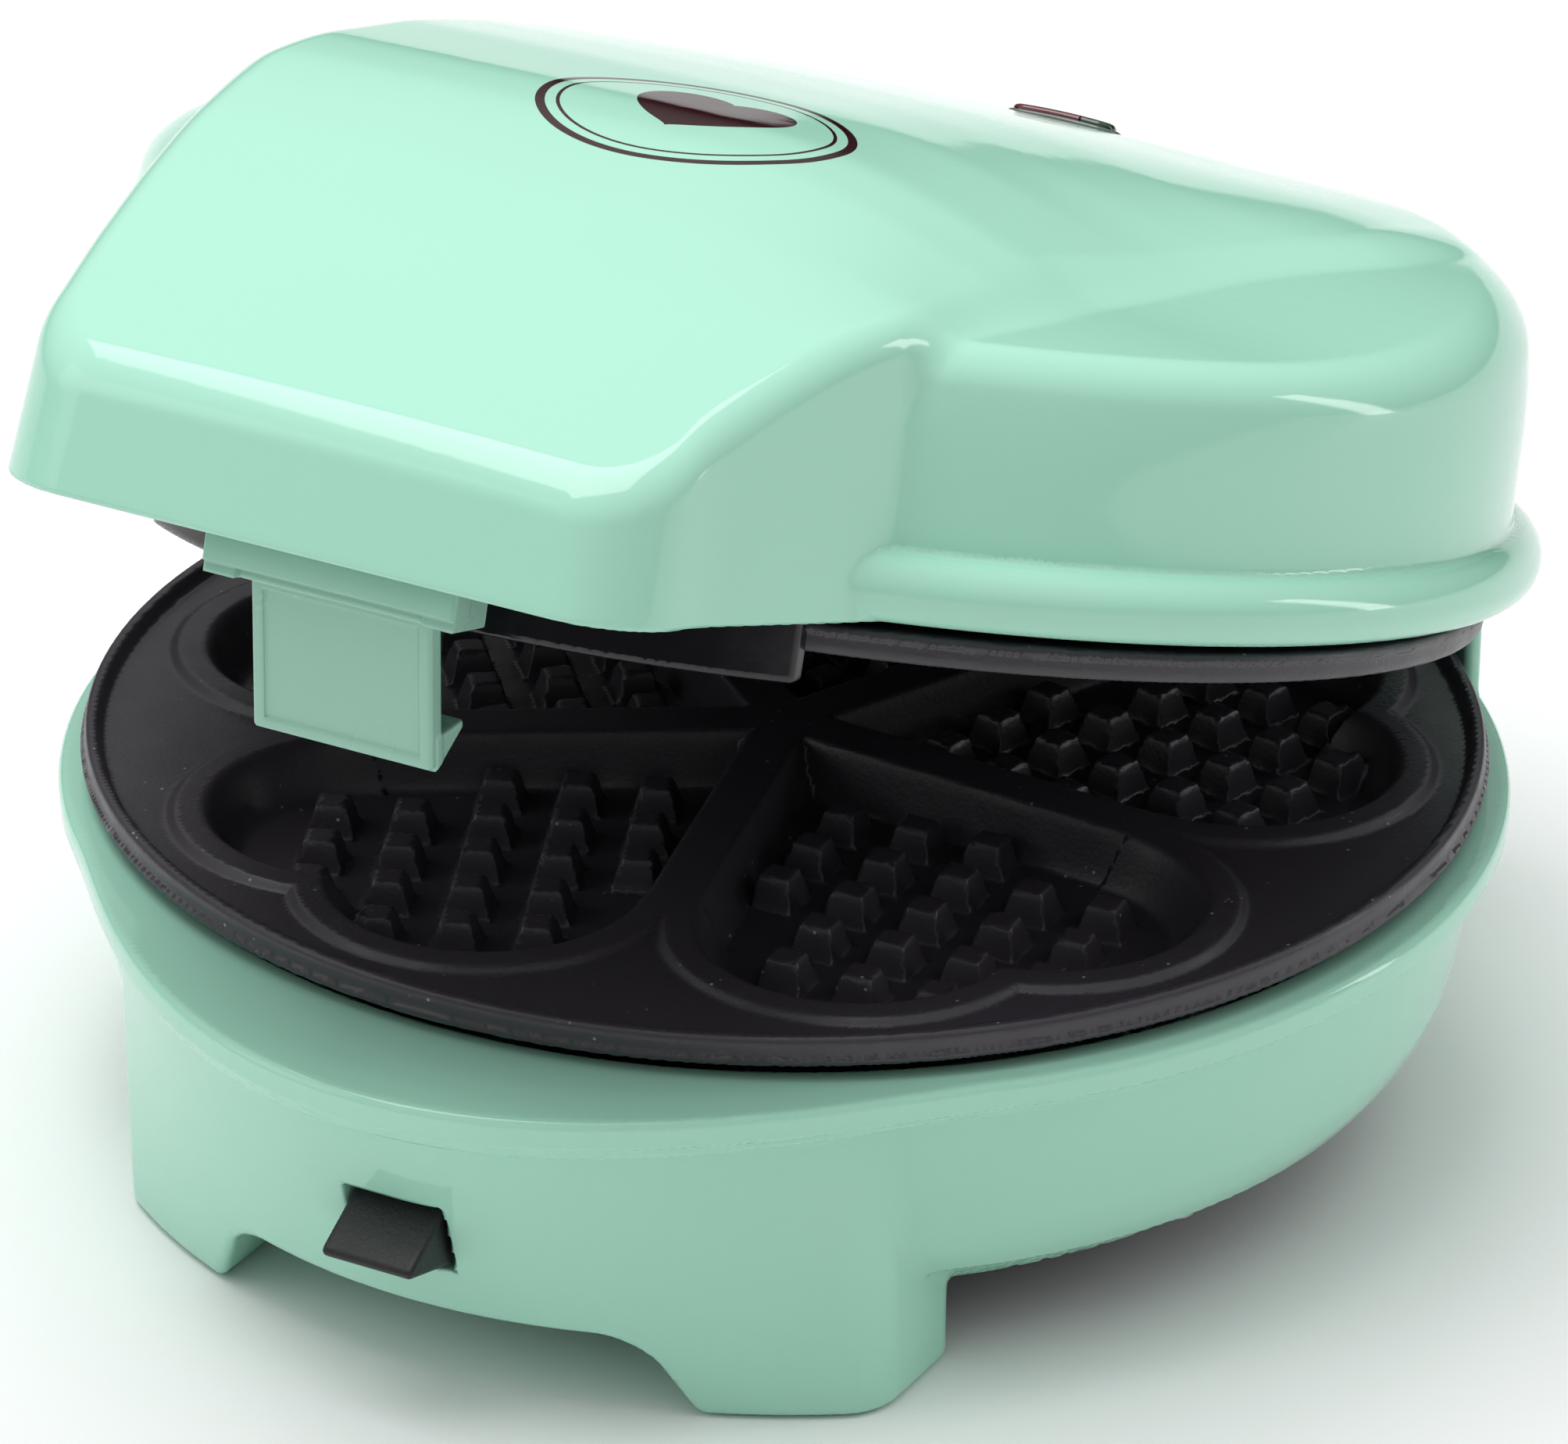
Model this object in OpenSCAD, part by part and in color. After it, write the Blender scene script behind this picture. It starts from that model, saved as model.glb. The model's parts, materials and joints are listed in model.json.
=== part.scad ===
// Heart-waffle maker with a hinged lid, two removable plates,
// a hook latch on the handle and a release lever for each plate.
// Frame: +Z up, front towards -Y, origin on the table below the middle of the
// resting outline. The lid is drawn ajar, at lid_rest_angle from closed.

/* [Plates] */
// Outer diameter of each round waffle plate
plate_d = 206; // [204:0.5:207]
// Height of the plane where the two plates meet, above the table
plate_height = 60; // [58:1:62]
// Depth of each heart-shaped cavity below the plate floor
cavity_depth = 7.5; // [6:0.5:8]

/* [Lid] */
// How far the lid stands open from closed, in degrees
lid_rest_angle = 16.2; // [12:0.1:20]
// Height of the lid's crown above the plate plane
lid_rise = 62.5; // [60:0.5:64]
// Distance from the plate's middle to the front face of the handle
handle_reach = 136; // [134:0.5:138]
// Half the width of the band across the lid's top
band_half = 60; // [57:0.5:61]

/* [Base] */
// Outer diameter of the base's top ring
ring_d = 214; // [213:0.5:216]
// Distance from the plate's middle to the tip of the front lip
nose_reach = 123; // [122:0.5:124]
// Wall thickness of the moulded shells
wall = 2.5; // [2:0.1:2.8]

/* [Hinge] */
// Distance of the hinge axis behind the plate's middle
hinge_back = 114; // [113.5:0.5:115]
// Height of the hinge axis above the plate plane
hinge_rise = 23; // [22:0.5:24]
// Radius of the hinge pins
pin_r = 2.5; // [2:0.1:3]
// Radial running clearance of pins and levers
run_gap = 0.05; // [0.03:0.01:0.08]

/* [Latch] */
// Width of the latch tab
latch_w = 28; // [24:1:30]
// Length of the latch tab below its pivot
latch_len = 24; // [23:0.5:25]

/* [Hidden] */

$fn = 96;
eps = 0.02;

mint = "#8fcdb1";
charcoal = "#3c3a40";
black_plastic = "#232326";
steel = "#b9bcc0";
dark_steel = "#6d6f73";
ceramic = "#e9e4d8";

// Middle of the plates in the part's frame, set so that the rest pose's
// outline is centred on the origin
plate_y = 1.6;
plate_r = plate_d / 2;
plate_rim_w = 1.8;
plate_floor_z = -2;
plate_skin = 2.4;
rim_gap = 0.3;
ring_r = ring_d / 2;
ring_top_z = -6.8;
ring_bottom_z = -10.8;
body_r = 104;
bowl_r = 92;
bowl_z = -45;
lid_edge_z = 6;

// ---------------------------------------------------------------- placing

// From the plate frame (z = 0 where the plates meet) to the part's frame
module on_base() {
  translate([0, plate_y, plate_height]) children();
}

// The lid's children are drawn closed and then turned up about the hinge
module on_lid() {
  on_base()
    translate([0, hinge_back, hinge_rise])
      rotate([-lid_rest_angle, 0, 0])
        translate([0, -hinge_back, -hinge_rise])
          children();
}

// Extrudes a (y, z) outline along X, centred
module along_x(w) {
  rotate([90, 0, 90]) linear_extrude(height = w, center = true) children();
}

// Extrudes an (x, z) outline along Y from y0 to y1
module along_y(y0, y1) {
  translate([0, y1, 0]) rotate([90, 0, 0]) linear_extrude(height = y1 - y0) children();
}

module cyl_x(r, w) {
  rotate([0, 90, 0]) cylinder(r = r, h = w, center = true);
}

module cyl_y(r, y0, y1) {
  translate([0, y0, 0]) rotate([-90, 0, 0]) cylinder(r = r, h = y1 - y0);
}

module both_sides() {
  children();
  mirror([1, 0, 0]) children();
}

module box(lo, hi) {
  translate(lo) cube(hi - lo);
}

function arc(cx, cy, r, a0, a1, n) =
  [for (i = [0 : n]) let (a = a0 + (a1 - a0) * i / n) [cx + r * cos(a), cy + r * sin(a)]];

// ---------------------------------------------------------------- hearts

heart_first_angle = 32;
heart_half_angle = 36;
lobe_r = 22;
lobe_u = 62.5;
lobe_v = 13.9;
heart_tip_u = 8;
ridge_w = 2.5;
post_pitch = 11.5;
post_w = 6;
post_h = 4;
rim_step_z = -5;

// Outline of one heart whose tip points at the plate's middle, along +X.
// rim is 0 for the deep part and 1 for the shallower step round its lobes.
function heart(grow, rim) =
  let (
    r = lobe_r + 1.5 * rim + grow,
    cu = lobe_u + 4 * rim,
    cv = lobe_v + 0.6 * rim,
    side = 90 + heart_half_angle,
    inward = acos(cv / r),
    upper = arc(cu, cv, r, side, inward - 90, 12),
    lower = [for (i = [len(upper) - 1 : -1 : 0]) [upper[i][0], -upper[i][1]]]
  )
  concat([[heart_tip_u - grow / sin(heart_half_angle), 0]], upper, lower);

function in_heart(u, v, margin) =
  u * sin(heart_half_angle) - abs(v) * cos(heart_half_angle) > 3.5 + margin
  && (u < lobe_u || norm([u - lobe_u, abs(v) - lobe_v]) < lobe_r - margin);

module each_heart() {
  for (k = [0 : 4]) rotate(heart_first_angle + 72 * k) children();
}

// Raised blocks on a cavity floor, on a grid set diagonally to the heart
module heart_posts() {
  for (i = [-6 : 12], j = [-6 : 12]) {
    u = (i + j) * post_pitch / sqrt(2) + 24;
    v = (i - j) * post_pitch / sqrt(2);
    if (in_heart(u, v, post_w * 0.8))
      translate([u, v, plate_floor_z - cavity_depth - eps])
        rotate(45) translate([-post_w / 2, -post_w / 2, 0])
          cube([post_w, post_w, post_h]);
  }
}

// Lower plate, cooking side up. The upper plate is its mirror image.
module waffle_plate() {
  difference() {
    union() {
      rotate_extrude()
        polygon([
          [0, plate_floor_z - plate_skin], [plate_r + 0.6, plate_floor_z - plate_skin],
          [plate_r + 0.6, plate_floor_z - plate_skin + 1], [plate_r, plate_floor_z - 1],
          [plate_r, 0], [plate_r - plate_rim_w, 0],
          [plate_r - plate_rim_w - 1.2, plate_floor_z], [0, plate_floor_z]
        ]);
      each_heart()
        translate([0, 0, plate_floor_z - cavity_depth - 2])
          linear_extrude(height = cavity_depth + 3.6) polygon(heart(ridge_w, 0));
      each_heart()
        translate([0, 0, rim_step_z - 2])
          linear_extrude(height = plate_floor_z + 3.6 - rim_step_z) polygon(heart(ridge_w, 1));
      plate_front_lug();
      plate_rear_tongues();
    }
    each_heart()
      translate([0, 0, plate_floor_z - cavity_depth])
        linear_extrude(height = cavity_depth + 5) polygon(heart(0, 0));
    each_heart() translate([0, 0, rim_step_z]) linear_extrude(height = 10) polygon(heart(0, 1));
  }
  each_heart() heart_posts();
}

lug_ledge_z = -13;

// Lug under the front edge: the release catch sits on its ledge
module plate_front_lug() {
  box([-9, -100, lug_ledge_z], [9, -97.5, plate_floor_z - 1]);
  box([-9, -102.5, lug_ledge_z - 2], [9, -97.5, lug_ledge_z + eps]);
}

tongue_x = 20;

// Tongues under the rear edge that slip beneath the steel hooks
module plate_rear_tongues() {
  both_sides() {
    box([tongue_x - 6, 88, -9], [tongue_x + 6, 90.5, plate_floor_z - 1]);
    box([tongue_x - 6, 88, -11], [tongue_x + 6, 94.2, -9 + eps]);
  }
}

// ---------------------------------------------------------------- base

nose_r = 63.5;
deck_z = ring_top_z;
lip_bottom_z = -13;
nose_wall_top_y = -115.5;
nose_wall_foot_y = -104;
opening_r = 99.6;
foot_bottom_z = 1.5 - plate_height;
arch_z = -46;

// Plan of the ring with the rounded nose, grown by g
module base_plan(g) {
  circle(r = ring_r + g);
  intersection() {
    translate([0, nose_r - nose_reach]) circle(r = nose_r + g);
    translate([-80, -140]) square([160, 100]);
  }
}

// Solid of the front fairing and feet, inset by g on its outer faces
module fairing_solid(g) {
  intersection() {
    translate([0, 0, -80]) linear_extrude(height = 80)
      intersection() {
        union() {
          circle(r = body_r + 1 - g);
          translate([0, nose_r - nose_reach + 2]) circle(r = nose_r - g);
        }
        translate([-65 + g, -140]) square([130 - 2 * g, 140]);
      }
    along_x(140)
      polygon([
        [nose_wall_top_y + g, deck_z - 1 - g], [nose_wall_top_y + g, lip_bottom_z],
        [nose_wall_foot_y + g, foot_bottom_z - 3], [-66, foot_bottom_z - 3],
        [-66, deck_z - 1 - g]
      ]);
    along_y(-140, 0)
      polygon([
        [-66, foot_bottom_z + g], [-43, foot_bottom_z + g], [-36 - g / 2, arch_z + g],
        [36 + g / 2, arch_z + g], [43, foot_bottom_z + g], [66, foot_bottom_z + g],
        [66, 0], [-66, 0]
      ]);
  }
}

module bowl_solid(g) {
  rotate_extrude()
    polygon([
      [0, ring_bottom_z + eps], [body_r - g, ring_bottom_z + eps], [body_r - 0.8 - g, -20],
      [body_r - 3.5 - g, -30], [bowl_r + 4 - g, -39], [bowl_r - g, bowl_z], [0, bowl_z]
    ]);
}

// Shelf inside the shell that carries the reflector's flange
module reflector_shelf() {
  rotate_extrude()
    polygon([[93, -12], [body_r - 1, -12], [body_r - 1, -10], [93, -10]]);
}

hinge_lug_r = 9;
hinge_lug_in = 30;
hinge_lug_out = 44;
hinge_block_half = 46;
riser_angle = 48;
riser_top_z = 5;

module hinge_block() {
  box([-hinge_block_half, 99, -20], [hinge_block_half, hinge_back + 9, 8]);
  both_sides()
    translate([(hinge_lug_in + hinge_lug_out) / 2, hinge_back, hinge_rise]) {
      cyl_x(hinge_lug_r, hinge_lug_out - hinge_lug_in);
      box([-7, -8, -16], [7, 8, 0]);
    }
}

// Wall on the back of the ring that fills the gap under the closed lid
module rear_riser() {
  rotate([0, 0, 90 - riser_angle])
    rotate_extrude(angle = 2 * riser_angle)
      polygon([[104.4, ring_top_z - 1], [ring_r, ring_top_z - 1], [ring_r, riser_top_z], [104.4, riser_top_z]]);
}

button_w = 14.5;
lever_y = -105;
lever_z = -30;

module base_shell() {
  color(mint) on_base() difference() {
    union() {
      translate([0, 0, ring_bottom_z])
        linear_extrude(height = ring_top_z - ring_bottom_z) base_plan(0);
      // the lip under the nose edge, which the latch hooks
      translate([0, 0, lip_bottom_z]) linear_extrude(height = 3)
        intersection() {
          base_plan(-1.5);
          translate([-60, -140]) square([120, 60]);
        }
      bowl_solid(0);
      fairing_solid(0);
      hinge_block();
      rear_riser();
      translate([0, 0, gland_z]) cyl_y(gland_r + 4, 92, 103);
    }
    difference() {
      union() {
        bowl_solid(wall);
        translate([0, 0, bowl_z - 5]) cylinder(r = bowl_r - wall, h = 12);
        fairing_solid(wall);
      }
      reflector_shelf();
    }
    translate([0, 0, -20]) cylinder(r = opening_r - 6.6, h = 40);
    translate([0, 0, -10]) cylinder(r = opening_r, h = 10);
    // room for the front lug and the catch
    box([-11, -104.5, -17], [11, -90, 0]);
    // room for the rear tongues and hooks
    both_sides() box([tongue_x - 9, 84, -13], [tongue_x + 9, 98, 0]);
    // pilot holes of the reflector's screws
    reflector_screw_places() translate([0, 0, -17]) cylinder(r = small_screw_r, h = 8);
    // room for the plates' rims in front of the hinge block
    translate([0, 0, ring_top_z]) cylinder(r = 104.2, h = 30);
    // hollow of the hinge block, and its way into the bowl
    box([-hinge_block_half + wall, 107, -30], [hinge_block_half - wall, hinge_back + 9 - wall, 8 - wall]);
    box([-hinge_block_half + wall, 90, -30], [hinge_block_half - wall, 110, -13]);
    // bores of the hinge lugs
    translate([0, hinge_back, hinge_rise]) cyl_x(pin_r + run_gap, 2 * hinge_lug_out + 4);
    // window of the release lever
    box([-button_w / 2 - 0.6, -125, lever_z - 8.5], [button_w / 2 + 0.6, -100, lever_z + 4.5]);
    // hole of the cord gland
    translate([0, 0, gland_z]) cyl_y(gland_r + 0.02, 80, 130);
    // ways out for the lid's wires
    box([-12, 100, 0], [12, hinge_back, 12]);
  }
  color(mint) on_base() {
    cover_bosses();
    lever_ears();
  }
}

boss_angles = [-20, 35, 145, 200];
boss_r = 85.5;
screw_r = 1.6;

// Posts on the bowl's wall that the bottom cover screws into
module cover_bosses() {
  for (a = boss_angles) rotate(a) translate([boss_r, 0, bowl_z + 2.6]) difference() {
    union() {
      cylinder(r = 4, h = 11);
      box([0, -2.5, 3.6], [10.4, 2.5, 11]);
    }
    translate([0, 0, -1]) cylinder(r = screw_r, h = 9.5);
  }
}

// Ears inside the nose that hold the release lever's pin
module lever_ears() {
  both_sides() difference() {
    union() {
      box([10.4, -110.6, lever_z - 4], [13.4, -101, lever_z + 4]);
      box([10.4, -110.6, lever_z - 4], [13.4, -109.4, lever_z + 6]);
    }
    translate([12, lever_y, lever_z]) cyl_x(1.5, 6);
  }
}

gland_z = -33;
gland_r = 5;
cord_hole_r = 3.2;
clamp_z = -37;

module cord_gland() {
  color(black_plastic) on_base() translate([0, 0, gland_z]) difference() {
    union() {
      cyl_y(gland_r, 88, 104);
      cyl_y(gland_r + 2.5, 103, 106);
    }
    cyl_y(cord_hole_r, 80, 120);
  }
}

module cord_clamp() {
  color(black_plastic) on_base()
    difference() {
      box([-12, 80.2, bowl_z + 2.55], [12, 86.2, clamp_z + 5.4]);
      translate([0, 0, clamp_z]) cyl_y(cord_hole_r, 70, 90);
    }
}

module bottom_cover() {
  color(black_plastic) on_base() difference() {
    union() {
      translate([0, 0, bowl_z]) cylinder(r = bowl_r - wall - 0.3, h = 2.5);
      both_sides() translate([52, 55, foot_bottom_z]) cylinder(r = 10, h = bowl_z - foot_bottom_z + 1);
    }
    for (i = [-3 : 3]) translate([i * 9, 0, bowl_z - 1]) box([-1.75, -28, 0], [1.75, 28, 6]);
    for (a = boss_angles) rotate(a) translate([boss_r, 0, bowl_z - 1]) cylinder(r = 2.1, h = 6);
  }
}

module bottom_cover_screws() {
  color(steel) on_base()
    for (a = boss_angles) rotate(a) translate([boss_r, 0, bowl_z - 2]) {
      cylinder(r = 3.4, h = 2);
      cylinder(r = screw_r, h = 10);
    }
}

module rubber_feet() {
  color("#2b2b2d") on_base() both_sides() {
    translate([52, 55, -plate_height]) cylinder(r = 8, h = 1.5);
    translate([52, -80, -plate_height]) cylinder(r = 5.5, h = 1.5);
  }
}

// ---------------------------------------------------------------- heat

element_r = 60;
element_tube_r = 3.25;
element_z = -18.5;
element_gap = 26;
element_pin_x = element_r * sin(element_gap / 2);
element_pin_y = element_r * cos(element_gap / 2);

// Tubular element: an open ring whose two ends turn down to cold terminals
module element_ring() {
  translate([0, 0, element_z]) {
    rotate(90 + element_gap / 2)
      rotate_extrude(angle = 360 - element_gap)
        translate([element_r, 0]) circle(r = element_tube_r);
    for (s = [-1, 1]) rotate(90 + s * element_gap / 2) translate([element_r, 0, 0]) {
      sphere(r = element_tube_r);
      translate([0, 0, -18]) cylinder(r = element_tube_r, h = 18);
      translate([0, 0, -22]) cylinder(r = 1.2, h = 6);
    }
  }
}

// Dished heat shield between the element and the housing
module reflector() {
  difference() {
    rotate_extrude()
      polygon([
        [0, -31], [84, -31], [90, -9.8], [opening_r - 0.6, -9.8],
        [opening_r - 0.6, -9], [89.4, -9], [83.4, -30.2], [0, -30.2]
      ]);
    for (s = [-1, 1]) rotate(90 + s * element_gap / 2)
      translate([element_r, 0, -40]) cylinder(r = 4.4, h = 20);
    box([-11.5, -101, -20], [11.5, -80, 0]);
    both_sides() box([tongue_x - 9.5, 80, -16], [tongue_x + 9.5, 101, 0]);
    reflector_screw_places() translate([0, 0, -20]) cylinder(r = 1.8, h = 20);
  }
}

small_screw_r = 1.4;

module reflector_screw_places() {
  for (a = [-30, 60, 120, 210]) rotate(a) translate([94.6, 0, 0]) children();
}

module reflector_screws() {
  reflector_screw_places() {
    translate([0, 0, -9]) cylinder(r = 2.8, h = 1.5);
    translate([0, 0, -15]) cylinder(r = small_screw_r, h = 7);
  }
}

// Saddles that hold the element on the reflector's floor
module element_brackets() {
  for (a = [0, 130, 230]) rotate(a - 90) translate([element_r, 0, 0]) difference() {
    box([-6, -4, -30.2], [6, 4, element_z + element_tube_r + 1]);
    translate([0, 0, element_z]) rotate([90, 0, 0]) cylinder(r = element_tube_r + 0.25, h = 10, center = true);
    box([-element_tube_r - 0.25, -5, -28.4], [element_tube_r + 0.25, 5, element_z]);
  }
}

// Steel hooks above the rear tongues
module plate_hooks() {
  both_sides() {
    box([tongue_x - 7, 91, -8.6], [tongue_x + 7, 95.6, -7.6]);
    box([tongue_x - 7, 94.6, -16], [tongue_x + 7, 95.6, -7.6]);
    box([tongue_x - 7, 84, -16], [tongue_x + 7, 95.6, -15]);
  }
}

module lower_reflector() { color(steel) on_base() reflector(); }
module lower_heating_element() { color(dark_steel) on_base() element_ring(); }
module lower_element_brackets() { color(steel) on_base() element_brackets(); }
module lower_waffle_plate() { color(charcoal) on_base() waffle_plate(); }
module lower_plate_hooks() { color(steel) on_base() plate_hooks(); }
module lower_reflector_screws() { color(dark_steel) on_base() reflector_screws(); }

// ---------------------------------------------------------------- lever

lever_pin_r = 1.5;

// Rocker: pressing the wedge down swings the catch off the plate's lug
module lower_release_lever() {
  color(black_plastic) on_base() difference() {
    union() {
      translate([0, lever_y, lever_z]) {
        cyl_x(3.4, button_w);
        along_x(button_w)
          polygon([[0, 3.4], [-7.5, 2.5], [-10, 0.7], [-17, -2.4], [-17, -4.2], [-6, -6.5], [0, -3.4]]);
        box([-5.5, -2.4, 0], [5.5, 0.6, 19]);
        along_x(11) polygon([[-2.4, 17.4], [3.8, 17.4], [3.8, 18], [1.8, 19], [-2.4, 19]]);
      }
    }
    translate([0, lever_y, lever_z]) cyl_x(lever_pin_r + run_gap, button_w + 4);
  }
}

module lower_lever_pin() {
  color(steel) on_base() translate([0, lever_y, lever_z]) cyl_x(lever_pin_r, 26.4);
}

// Coils of a spring as a row of rings on one axis
module ring_coils(r, wire, count, pitch) {
  for (i = [0 : count - 1]) translate([0, 0, i * pitch])
    rotate_extrude() translate([r, 0]) circle(r = wire, $fn = 24);
}

module lower_lever_spring() {
  color(steel) on_base() translate([7.8, lever_y, lever_z]) rotate([0, 90, 0])
    difference() {
      cylinder(r = 2.7, h = 2.2);
      translate([0, 0, -1]) cylinder(r = 1.7, h = 5);
    }
}

// ---------------------------------------------------------------- wiring

module terminal_block() {
  difference() {
    box([-14, -6, 0], [14, 6, 11]);
    for (i = [-1 : 1]) translate([i * 8.5, 0, 5]) cyl_y(2, -7, 7);
  }
}

module base_terminal_block() {
  color(ceramic) on_base() translate([0, 72, bowl_z + 2.55]) terminal_block();
}

fuse_z = -33.7;

// Thermal fuse under the reflector's floor, with its two leads
module base_thermal_fuse() {
  color(ceramic) on_base() translate([0, 50, fuse_z]) {
    cyl_x(2.6, 24);
    cyl_x(0.8, 36);
  }
}

wire_r = 1.2;

// A pair of leads from a terminal block to the element's cold pins, in the
// base's layout: y1 is the block's near face
module element_leads(y1) {
  both_sides() {
    translate([8.5, 0, -38.2]) cyl_y(wire_r, min(element_pin_y, y1), max(element_pin_y, y1));
    translate([8.5, element_pin_y, -38.2]) sphere(r = wire_r);
    translate([10.35, element_pin_y, -38.2]) cyl_x(wire_r, 3.7);
  }
}

module base_wires() {
  color("#c9b98f") on_base() {
    element_leads(65.95);
    both_sides() {
      translate([19.2, 0, fuse_z]) cyl_y(wire_r, 50, 70);
      translate([19.2, 70, fuse_z]) sphere(r = wire_r);
      translate([16.65, 70, fuse_z]) cyl_x(wire_r, 5.1);
    }
  }
}

// ---------------------------------------------------------------- lid

drum_r = 105;
drum_top_r = 102.5;
shoulder_z = 45.5;
bead_r = 4.8;
bead_z = 10.8;
tail_half = 50;
tail_r = 13.5;
handle_half = 49;
lid_band_z = lid_rise;

// Side outline (y, z) of the band over the lid's top, inset by g
module band_side(g) {
  polygon(concat(
    [
      [-handle_reach + g, lid_edge_z - 1 + 0 * g], [-handle_reach + 1 + g, 14],
      [-handle_reach + 3.5 + g, 24 - g], [-handle_reach + 8 + g, 29 - g],
      [-110, 39 - g], [-95, 46 - g], [-68, 55.5 - g], [-46, 59.5 - g],
      [-20, lid_band_z - g], [0, lid_band_z - g], [30, lid_band_z - 1.5 - g],
      [60, lid_band_z - 5 - g], [85, lid_band_z - 10.5 - g]
    ],
    [[hinge_back + 2 - g / 2, hinge_rise + tail_r - g / 1], [hinge_back + 2 - g / 2, lid_edge_z - 1]]
  ));
}

// Plan of the lid: drum, tapering handle and tail, inset by g
module lid_plan(g) {
  intersection() {
    union() {
      polygon([
        [-handle_half + g, -handle_reach + 14], [-handle_half + 3 + g, -handle_reach + 5],
        [-handle_half + 14, -handle_reach + g], [handle_half - 14, -handle_reach + g],
        [handle_half - 3 - g, -handle_reach + 5], [handle_half - g, -handle_reach + 14],
        [band_half + 1 - g, -90], [-band_half - 1 + g, -90]
      ]);
      translate([-band_half + g, -95]) square([2 * band_half - 2 * g, 170]);
      intersection() {
        circle(r = drum_top_r + 1 - g);
        translate([-band_half + g, 0]) square([2 * band_half - 2 * g, 120]);
      }
      translate([-tail_half + g, 70]) square([2 * tail_half - 2 * g, 60]);
    }
    translate([-120, -150]) square([240, 300]);
  }
}

// Outer solid of the lid, inset by g
module lid_solid(g) {
  intersection() {
    along_x(240) band_side(g);
    translate([0, 0, lid_edge_z - 1]) linear_extrude(height = 70) lid_plan(g);
  }
  rotate_extrude()
    polygon([
      [0, lid_edge_z], [drum_r - g, lid_edge_z], [drum_r - g, 14], [drum_top_r - g, shoulder_z - 6],
      [drum_top_r - 2 - g, shoulder_z - 2.5], [drum_top_r - 6 - g, shoulder_z - g / 2],
      [60, shoulder_z + 4 - g], [0, shoulder_z + 6 - g]
    ]);
}

module lid_bead() {
  rotate_extrude()
    polygon(concat(
      arc(drum_r - 0.3, bead_z, bead_r, -90, 90, 16),
      [[drum_r - 2.4, bead_z + bead_r], [drum_r - 2.4, bead_z - bead_r]]
    ));
}

lens_y = 75;
lens_top_z = 54;

module lid_shell() {
  color(mint) on_lid() difference() {
    union() {
      difference() {
        union() {
          lid_solid(0);
          lid_bead();
        }
        // flat underside
        translate([0, 0, lid_edge_z - 20]) linear_extrude(height = 20)
          square([300, 300], center = true);
        // tail hollow over the hinge lugs, open below and behind
        difference() {
          box([-tail_half + wall, 98.5, -20], [tail_half - wall, 140, 60]);
          intersection() {
            along_x(200) band_side(0);
            along_x(200) polygon([[90, 60], [90, 46], [hinge_back, hinge_rise + tail_r - wall], [hinge_back + 2, hinge_rise + tail_r - wall], [hinge_back + 2, 60]]);
          }
        }
        // bead cleared around the tail
        both_sides() box([-1, 101.5, -20], [tail_half - wall, 140, 33]);
      }
      tail_cheeks();
      hinge_bosses();
    }
    lid_cavity();
    translate([0, hinge_back, hinge_rise]) cyl_x(pin_r, 2 * (tail_half - 1));
    // seat of the indicator
    translate([0, lens_y, lens_top_z - 8]) linear_extrude(height = 20) stadium(19, 7);
    // wires out to the base
    box([-10, 95, 14], [10, 102, 22]);
  }
  color(mint) on_lid() inner_cover_bosses();
}

module tail_cheeks() {
  both_sides() translate([tail_half - wall / 2, hinge_back, hinge_rise]) cyl_x(tail_r, wall);
  both_sides() box([tail_half - wall, 90, lid_edge_z + 3.5], [tail_half, hinge_back, hinge_rise + 10]);
}

// Inner bosses that carry the pins on the middle side of each lug
module hinge_bosses() {
  both_sides() {
    box([hinge_lug_in - 6, 97, hinge_rise - 6], [hinge_lug_in - 0.6, hinge_back, hinge_rise + 6]);
    translate([hinge_lug_in - 3.3, hinge_back, hinge_rise]) cyl_x(6, 5.4);
  }
}

// Hollow of the lid, in front of its rear wall
module lid_cavity() {
  intersection() {
    union() {
      lid_solid(wall);
      translate([0, 0, lid_edge_z - 2]) cylinder(r = drum_r - wall, h = 10);
    }
    box([-130, -140, lid_edge_z - 3], [130, 96, 70]);
  }
}

inner_boss_at = [[97.6, 12], [-97.6, 12], [38, -112], [-38, -112]];

module inner_cover_bosses() {
  for (p = inner_boss_at)
    translate([p[0], p[1], lid_edge_z + 2.6]) difference() {
      cylinder(r = 4, h = p[1] > 0 ? 19 : 28);
      translate([0, 0, -1]) cylinder(r = screw_r, h = 13.5);
    }
  // posts for the reflector's screws, up to the lid's roof
  intersection() {
    lid_solid(1);
    translate([0, 0, rim_gap + 9.85]) reflector_screw_places() difference() {
      cylinder(r = 3.6, h = 41.5);
      translate([0, 0, -1]) cylinder(r = small_screw_r, h = 8);
    }
  }
}

module stadium(len, w) {
  translate([-(len - w) / 2, 0]) circle(r = w / 2);
  translate([(len - w) / 2, 0]) circle(r = w / 2);
  square([len - w, w], center = true);
}

skirt_r = 80;
skirt_cy = -30;
skirt_half = 50;
skirt_bottom_z = -4;

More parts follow.
